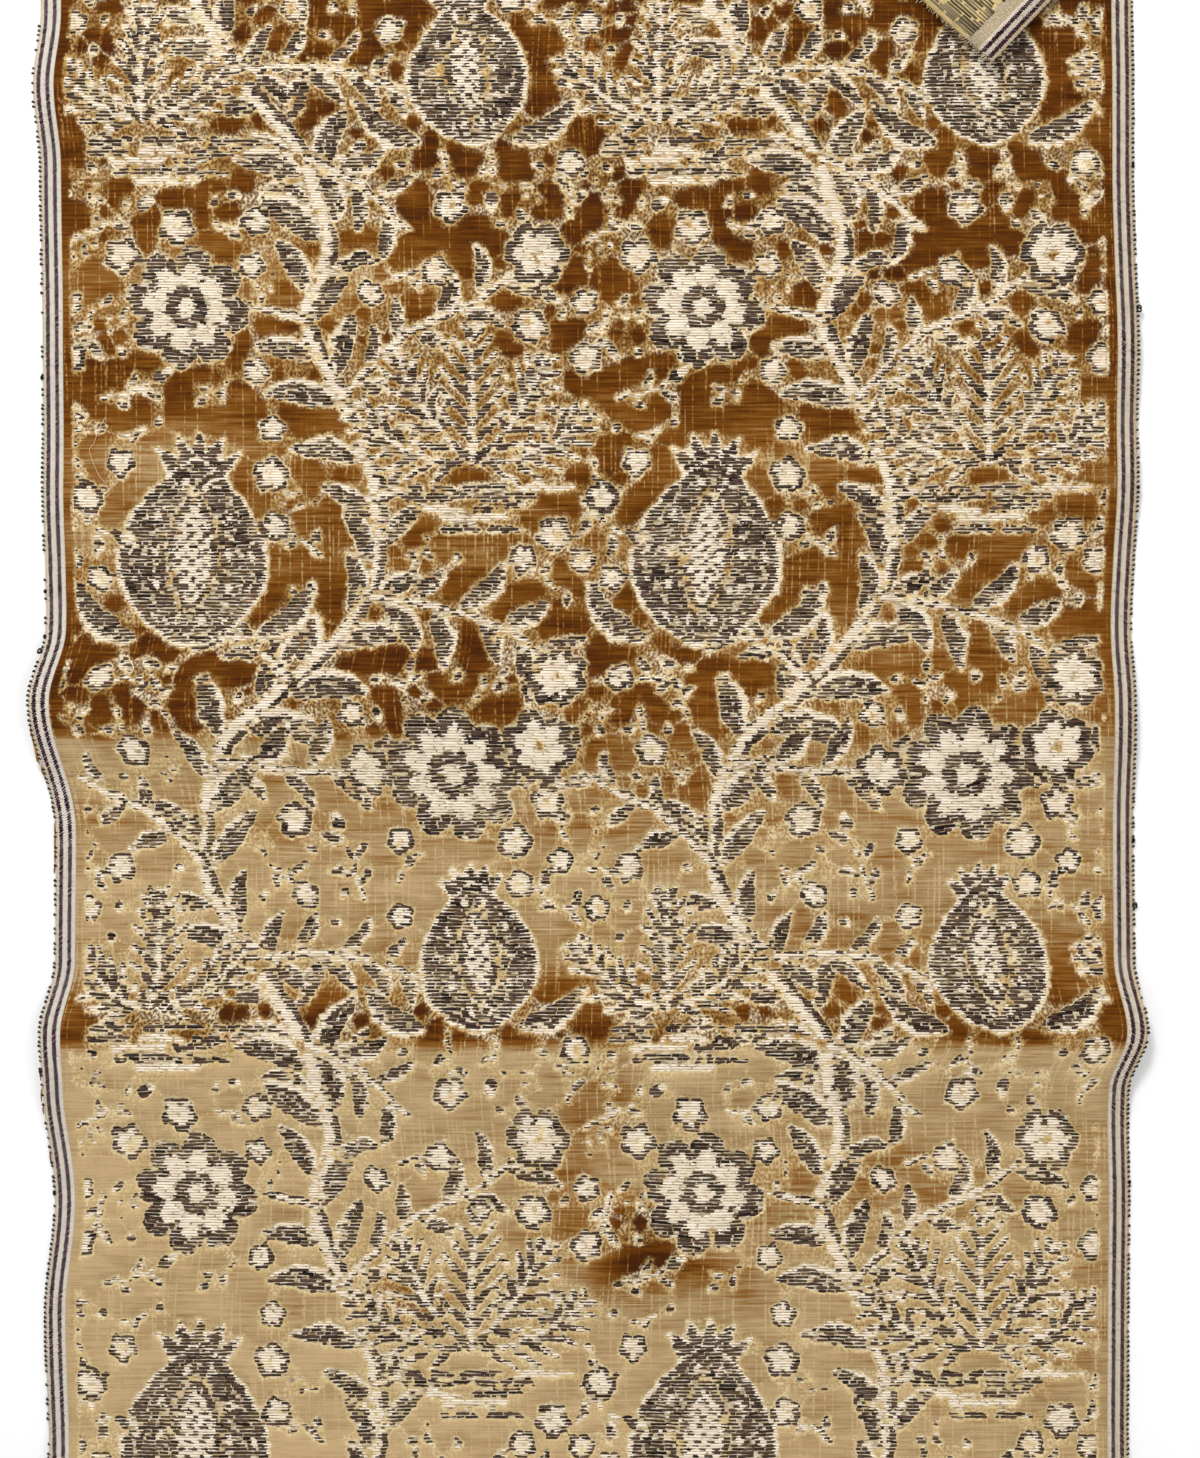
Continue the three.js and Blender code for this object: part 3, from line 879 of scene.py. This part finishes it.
for material in (pile, selvedge, reverse):
    velvet.data.materials.append(material)
middle_u = np.abs(cloth_uv[:, 0][triangles].mean(1))
kinds = np.where(middle_u > half_u - SELVEDGE, 1, 0)
kinds[first_back:first_wall] = np.where(middle_u[first_back:first_wall] > half_u - SELVEDGE, 1, 2)
kinds[first_wall:] = np.where(middle_u[first_wall:] > half_u - SELVEDGE, 1, 2)
velvet.data.polygons.foreach_set("material_index", kinds)
set_values(velvet, "apart", np.clip(off_figure(cloth_uv[:, 0], cloth_uv[:, 1]) / GLOW, 0, 1))
# Painted light and shade: each patch paints the pile paler or darker round its centre.
painted_light_patches = np.zeros(len(cloth_uv))
for patch_u, patch_v, reach_u, reach_v, change in PAINTED_LIGHT_PATCHES:
    out = np.hypot((cloth_uv[:, 0] - patch_u) / reach_u, (cloth_uv[:, 1] - patch_v) / reach_v)
    painted_light_patches += change * smooth(1.4 - out)
set_values(velvet, "painted_light_patch", painted_light_patches)
corners = triangles.ravel()
set_map(velvet, "Cloth", cloth_uv[corners] * MM)
bake = np.stack([cloth_uv[corners, 1] / LENGTH + 0.5, (cloth_uv[corners, 0] / WIDTH + 0.5) * 0.6], -1)
bake[3 * first_back:, 1] = 0.61 + bake[3 * first_back:, 1] / 0.6 * 0.36
wall_corners = np.arange(3 * first_wall, len(corners))
bake[wall_corners, 0] = np.linspace(0, 1, len(wall_corners))
bake[wall_corners, 1] = 0.98 + 0.015 * (cloth_w[corners[wall_corners]] > 0.5)
set_map(velvet, "OFBake", bake)
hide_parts("velvet_panel")
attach(velvet, "root")

# The wefts that make the figure. Dark metal-wrapped thread and cream silk float on the ground cloth
# where the pile is left out, each held down by a warp every few millimetres.
METAL_PITCH = 1.8
CREAM_PITCH = 1.4


def floats(pitch, wanted, shortest, longest, gap, weaver):
    """Runs of weft along the picks: middle u, v and half length of each."""
    found = []
    squares_u = np.arange(-FIGURE_EDGE, FIGURE_EDGE, 0.4)
    for v in np.arange(-half_v + 1.5, half_v - 1.5, pitch):
        row = wanted(squares_u, np.full_like(squares_u, v))
        turns = np.flatnonzero(np.diff(np.concatenate([[0], row.astype(int), [0]])))
        for first, last in zip(turns[::2], turns[1::2]):
            u, end = squares_u[first], squares_u[min(last, len(squares_u) - 1)]
            u -= weaver.uniform(0, shortest / 2)
            while end - u > 1.8:
                length = min(weaver.uniform(shortest, longest), end - u + 0.3)
                found.append((u + length / 2, v, length / 2))
                u += length + gap * weaver.uniform(0.7, 1.5)
    return np.array(found).T


def woven_in(kind):
    def wanted(u, v):
        column = (u % REPEAT_ACROSS / SQUARE).astype(int) % CHART_SIZE[1]
        row = ((v + REPEAT_START) % REPEAT_ALONG / SQUARE).astype(int) % CHART_SIZE[0]
        return (weave[row, column] == kind) & (past_fold(u, v) < 0)
    return wanted


def lengths_of_thread(name, u, v, half_long, half_wide, lean, low, high, weaver):
    """Short ridged lengths of thread in the cloth, each with a shade and a place on the bake map."""
    count = len(u)
    half_long, half_wide, lean = (np.broadcast_to(a, count) for a in (half_long, half_wide, lean))
    low, high = np.broadcast_to(low, count), np.broadcast_to(high, count)
    taper = np.minimum(0.5, half_long * 0.45)
    ends = [(-half_long, -1, low), (half_long, -1, low), (half_long, 1, low), (-half_long, 1, low)]
    ends += [(taper - half_long, 0, high), (half_long - taper, 0, high)]
    cos, sin = np.cos(lean), np.sin(lean)
    corner_u = np.stack([u + a * cos - b * half_wide * sin for a, b, w in ends], -1)
    corner_v = np.stack([v + a * sin + b * half_wide * cos for a, b, w in ends], -1)
    corner_w = np.stack([w for a, b, w in ends], -1)
    upright = [(0, 1, 5, 4), (2, 3, 4, 5), (1, 2, 5), (3, 0, 4), (3, 2, 1, 0)]
    patterns = {True: upright, False: [loop[::-1] for loop in upright]}
    faces = [
        tuple(6 * k + i for i in loop)
        for k in range(count) for loop in patterns[bool(high[k] > low[k])]
    ]
    piece = new_piece(name, lie(corner_u.ravel(), corner_v.ravel(), corner_w.ravel()), faces)
    piece.data.polygons.foreach_set("use_smooth", np.tile([True] * 4 + [False], count))
    set_values(piece, "strand", np.repeat(np.clip(weaver.normal(0.5, 0.3, count), 0, 1), 6))
    cells = math.ceil(math.sqrt(count))
    cell = np.stack([np.arange(count) % cells, np.arange(count) // cells], -1)
    places = np.array([(0.1, 0.1), (0.9, 0.1), (0.9, 0.66), (0.1, 0.66), (0.3, 0.38), (0.7, 0.38)])
    under = np.array([(0.1, 0.92), (0.9, 0.92), (0.9, 0.8), (0.1, 0.8)])
    loops = {
        side: np.vstack([places[list(loop)] for loop in pattern[:4]] + [under[list(pattern[4])]])
        for side, pattern in patterns.items()
    }
    chosen = np.stack([loops[bool(high[k] > low[k])] for k in range(count)])
    set_map(piece, "OFBake", (cell[:, None, :] + chosen) / cells)
    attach(piece, "root")
    return piece


def dye(piece, name, dark, light, roughness, metallic):
    """Gives a piece's threads their material, each thread's shade between dark and light."""
    material = bpy.data.materials.new(name)
    material.use_nodes = True
    tree = material.node_tree
    strand = wire(tree, "ShaderNodeAttribute", {}, attribute_name="strand")
    shade = mix(tree, strand.outputs["Fac"], colour(dark), colour(light))
    surface = tree.nodes["Principled BSDF"]
    tree.links.new(shade.outputs[0], surface.inputs["Base Color"])
    surface.inputs["Roughness"].default_value = roughness
    surface.inputs["Metallic"].default_value = metallic
    surface.inputs["Specular IOR Level"].default_value = 0.2
    piece.data.materials.append(material)


def crowding(u, v):
    """How close the wefts lie, about 1: they bunch and thin out over short and over long ways."""
    fine = np.sin(u * 0.31 + 1.3 * np.sin(v * 0.13)) * np.sin(v * 0.47 + 1.1 * np.sin(u * 0.11))
    broad = np.sin(u * 0.07 + 2 * np.sin(v * 0.031)) * np.sin(v * 0.083 + 1.7 * np.sin(u * 0.027))
    return 1 + 0.26 * fine + 0.2 * broad


def pick_lean(u, v):
    """How far the picks lean at a place, in radians, since the cloth has been pulled about."""
    return 0.085 * np.sin(u * 0.05 + 1.6 * np.sin(v * 0.023)) * np.sin(v * 0.055 + 1.4 * np.sin(u * 0.019))


weaver = np.random.default_rng(5)
u, v, half = floats(METAL_PITCH, woven_in(METAL), 5.0, 13.0, 0.9, weaver)
half_wide = np.minimum(0.74 * crowding(u, v) * weaver.uniform(0.8, 1.12, len(u)), 0.88)
lean = pick_lean(u, v) + weaver.normal(0, 0.035, len(u))
metal_wefts = lengths_of_thread(
    "metal_wefts", u, v, half, half_wide, lean, FIGURE_LEVEL - 0.03, FIGURE_LEVEL + 0.4, weaver
)
dye(metal_wefts, "dark_metal_thread", "#160b06", "#5b463a", 0.5, 0.2)

u, v, half = floats(CREAM_PITCH, woven_in(CREAM), 5.0, 14.0, 0.4, weaver)
half_wide = 0.72 * weaver.uniform(0.85, 1.1, len(u))
lean = weaver.normal(0, 0.012, len(u))
ivory_wefts = lengths_of_thread(
    "ivory_wefts", u, v, half, half_wide, lean, FIGURE_LEVEL - 0.1, FIGURE_LEVEL + 0.3, weaver
)
dye(ivory_wefts, "ivory_silk_thread", "#e2d1b9", "#f7ebd7", 0.5, 0.0)


# On the reverse the metal wefts float where the face has pile, so the figure shows pale on a
# grey-brown ground of fine cross lines.
def under_pile(u, v):
    return (off_figure(u, v) > 0.2) & (np.abs(u) < FIGURE_EDGE - 1)


REVERSE_PITCH = 1.65
u, v, half = floats(REVERSE_PITCH, under_pile, 9.0, 24.0, 1.2, weaver)
half_wide = 0.62 * crowding(u, v)
lean = weaver.normal(0, 0.006, len(u))
reverse_wefts = lengths_of_thread(
    "reverse_wefts", u, v, half, half_wide, lean, BACK_LEVEL + 0.05, BACK_LEVEL - 0.25, weaver
)
dye(reverse_wefts, "reverse_metal_thread", "#3e342a", "#84765e", 0.55, 0.2)

# Each selvedge has two plum stripes of twisted yarn, which show on both faces of the cloth.
STRIPES = (2.8, 7.3)            # middle of each, in from the edge
STRIPE_PITCH = 1.3
lines = [(side, stripe, face) for side in (-1, 1) for stripe in STRIPES for face in (True, False)]
along_edge = np.arange(-half_v + 0.6, half_v - 0.6, STRIPE_PITCH)
v = np.tile(along_edge, len(lines)) + weaver.normal(0, 0.06, len(along_edge) * len(lines))
side, stripe, face = (np.repeat([line[k] for line in lines], len(along_edge)) for k in range(3))
low = np.where(face, SELVEDGE_LEVEL - 0.1, BACK_LEVEL + 0.1)
high = np.where(face, SELVEDGE_LEVEL + 0.45, BACK_LEVEL - 0.3)
half = weaver.uniform(1.2, 1.6, len(v))
stripes = lengths_of_thread(
    "selvedge_stripes", side * (half_u - stripe), v, half, 0.56, -side * 0.7, low, high, weaver
)
dye(stripes, "plum_yarn", "#190411", "#4a2238", 0.7, 0.0)


def tubes(name, paths, radius, weaver):
    """Round threads along paths of equally many (u, v, w) points, thinner at both ends."""
    paths = np.asarray(paths, float)
    many, steps = paths.shape[:2]
    ahead = np.gradient(paths, axis=1)
    ahead /= np.linalg.norm(ahead, axis=2, keepdims=True) + 1e-9
    side = np.cross(ahead, (0.02, 0.01, 1.0))
    side /= np.linalg.norm(side, axis=2, keepdims=True) + 1e-9
    up = np.cross(side, ahead)
    taper = np.where(np.isin(np.arange(steps), (0, steps - 1)), 0.5, 1)[:, None]
    thick = np.asarray(radius, float).reshape(-1, 1, 1) * taper
    rings = np.stack([paths + thick * (a * side + b * up) for a, b in ((1, 0), (0, 1), (-1, 0), (0, -1))], 2)
    points = rings.reshape(-1, 3)
    faces = []
    for k in range(many):
        first = k * steps * 4
        for i in range(steps - 1):
            ring = first + 4 * i
            faces += [(ring + j, ring + 4 + j, ring + 4 + (j + 1) % 4, ring + (j + 1) % 4) for j in range(4)]
        last = first + 4 * (steps - 1)
        faces += [(first, first + 1, first + 2, first + 3), (last + 3, last + 2, last + 1, last)]
    piece = new_piece(name, lie(points[:, 0], points[:, 1], points[:, 2]), faces)
    piece.data.polygons.foreach_set("use_smooth", np.ones(len(faces), bool))
    set_values(piece, "strand", np.repeat(weaver.uniform(0, 1, many), steps * 4))
    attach(piece, "root")
    return piece


# Along both edges the metal weft turns back in small dark beads. On the left they are drawn in along
# some stretches, and here and there the weft has slipped out into a knot.
BEAD_PITCH = 2.5
turns = []
for side in (-1, 1):
    for v in np.arange(-half_v + 1, half_v - 1, BEAD_PITCH):
        v += weaver.normal(0, 0.2)
        if weaver.uniform() < (0.08 if side > 0 else 0.3 + 0.3 * math.sin(v * 0.045)):
            continue
        out = weaver.uniform(0.5, 1.0)
        bend = [(-0.7, 0, 1.1), (-0.1, 0.05, 1.2), (out, 0.3, 0.8), (out - 0.2, 0.7, 0.4), (-0.8, 0.85, 0.3)]
        turns.append([(side * (half_u + a), v + b, w) for a, b, w in bend])
edge_beads = tubes("edge_beads", turns, weaver.uniform(0.40, 0.58, len(turns)), weaver)
dye(edge_beads, "edge_metal_thread", "#050303", "#3a2e24", 0.5, 0.2)

# side, place along the edge and reach of each knot
KNOTS = [
    (-1, 11, 2.6), (-1, 19, 1.2), (-1, 42, 1.2), (-1, 152, 1.4), (-1, -204, 1.6), (-1, -268, 1.3),
    (1, 187.5, 2.6), (1, -119.5, 2.4), (1, -86, 1.4), (1, 96, 1.3), (1, -262, 1.4), (1, 262, 1.0),
]
loops = []
for side, v, reach in KNOTS:
    for k in range(3):
        start = weaver.uniform(-0.8, 0.8)
        angles = np.linspace(0, 1.7 * math.pi, 8) + weaver.uniform(0, 6)
        ring = [(reach * (0.5 + 0.42 * math.cos(a)), start + reach * 0.42 * math.sin(a)) for a in angles]
        loops.append([(side * (half_u - 0.4 + a), v + b, 1.0 + 0.3 * k) for a, b in ring])
knots = tubes("edge_knots", loops, 0.42, weaver)
dye(knots, "knot_thread", "#050304", "#1c1513", 0.5, 0.2)

# The ends were cut straight off the loom length, so short warps stand out of them.
WARP_PITCH = 1.1
ends = []
for end in (-1, 1):
    for u in np.arange(-half_u + 0.6, half_u - 0.4, WARP_PITCH):
        reach = weaver.uniform(0.6, 2.6) if weaver.uniform() < 0.93 else weaver.uniform(3, 5.5)
        sway = weaver.normal(0, 0.35)
        w = weaver.uniform(0.5, 1.0)
        ends.append([
            (u + sway * t * t * reach, end * (half_v - 1 + t * (reach + 1)), w - 0.35 * t)
            for t in (0, 0.4, 0.7, 1)
        ])
frays = tubes("cut_end_warps", ends, weaver.uniform(0.16, 0.3, len(ends)), weaver)
dye(frays, "cut_silk_warp", "#7d5620", "#d9c7a4", 0.7, 0.0)

# One pale thread has come loose on the face near the left selvedge, and a few brown wisps of
# silk hang along the left edge below the first fold.
LOOSE_THREAD = [
    (-248.5, 132.5), (-251.3, 128.1), (-253.2, 123.0), (-255.2, 117.8), (-257.2, 115.1), (-256.4, 111.5),
    (-254.0, 105.2), (-251.2, 100.1), (-248.3, 97.5),
]
line = curve_through(LOOSE_THREAD, steps=3)
rise = THICKNESS + 0.25 + 0.5 * np.abs(np.sin(np.arange(len(line)) * 0.7))
loose_thread = tubes("loose_thread", [np.column_stack([line[:, 0] + 1.2, line[:, 1], rise])], 0.2, weaver)
dye(loose_thread, "loose_silk", "#c9a688", "#d8b898", 0.6, 0.0)

# top, length and lean of each bunch
WISPS = [
    (-26, 9, 0.3), (-29, 12, 0.5), (-34, 11, 1.1), (-37, 9, 1.7), (-47, 5, 0.9), (-49, 4, 0.4),
    (-76, 7, 0.2), (-82, 8, 0.5), (-90, 7, 0.3), (-98, 5, 0.7), (-203, 6, 0.4), (-212, 8, 0.6),
    (-222, 5, 0.3), (-246, 6, 0.5),
]
wisps = []
for top, length, lean in WISPS:
    for k in range(3):
        drift = lean * weaver.uniform(0.6, 1.2)
        here = [(0.1 - 0.2 * k, 0), (0.45 + 0.3 * drift, 0.35), (0.5 + 0.7 * drift, 0.7), (0.4 + drift, 1)]
        wisps.append([
            (-half_u - a, top - b * length * weaver.uniform(0.9, 1.1), 0.9 - 0.5 * b) for a, b in here
        ])
wisps = tubes("edge_wisps", wisps, 0.42, weaver)
dye(wisps, "brown_silk", "#78480f", "#b07c34", 0.7, 0.0)
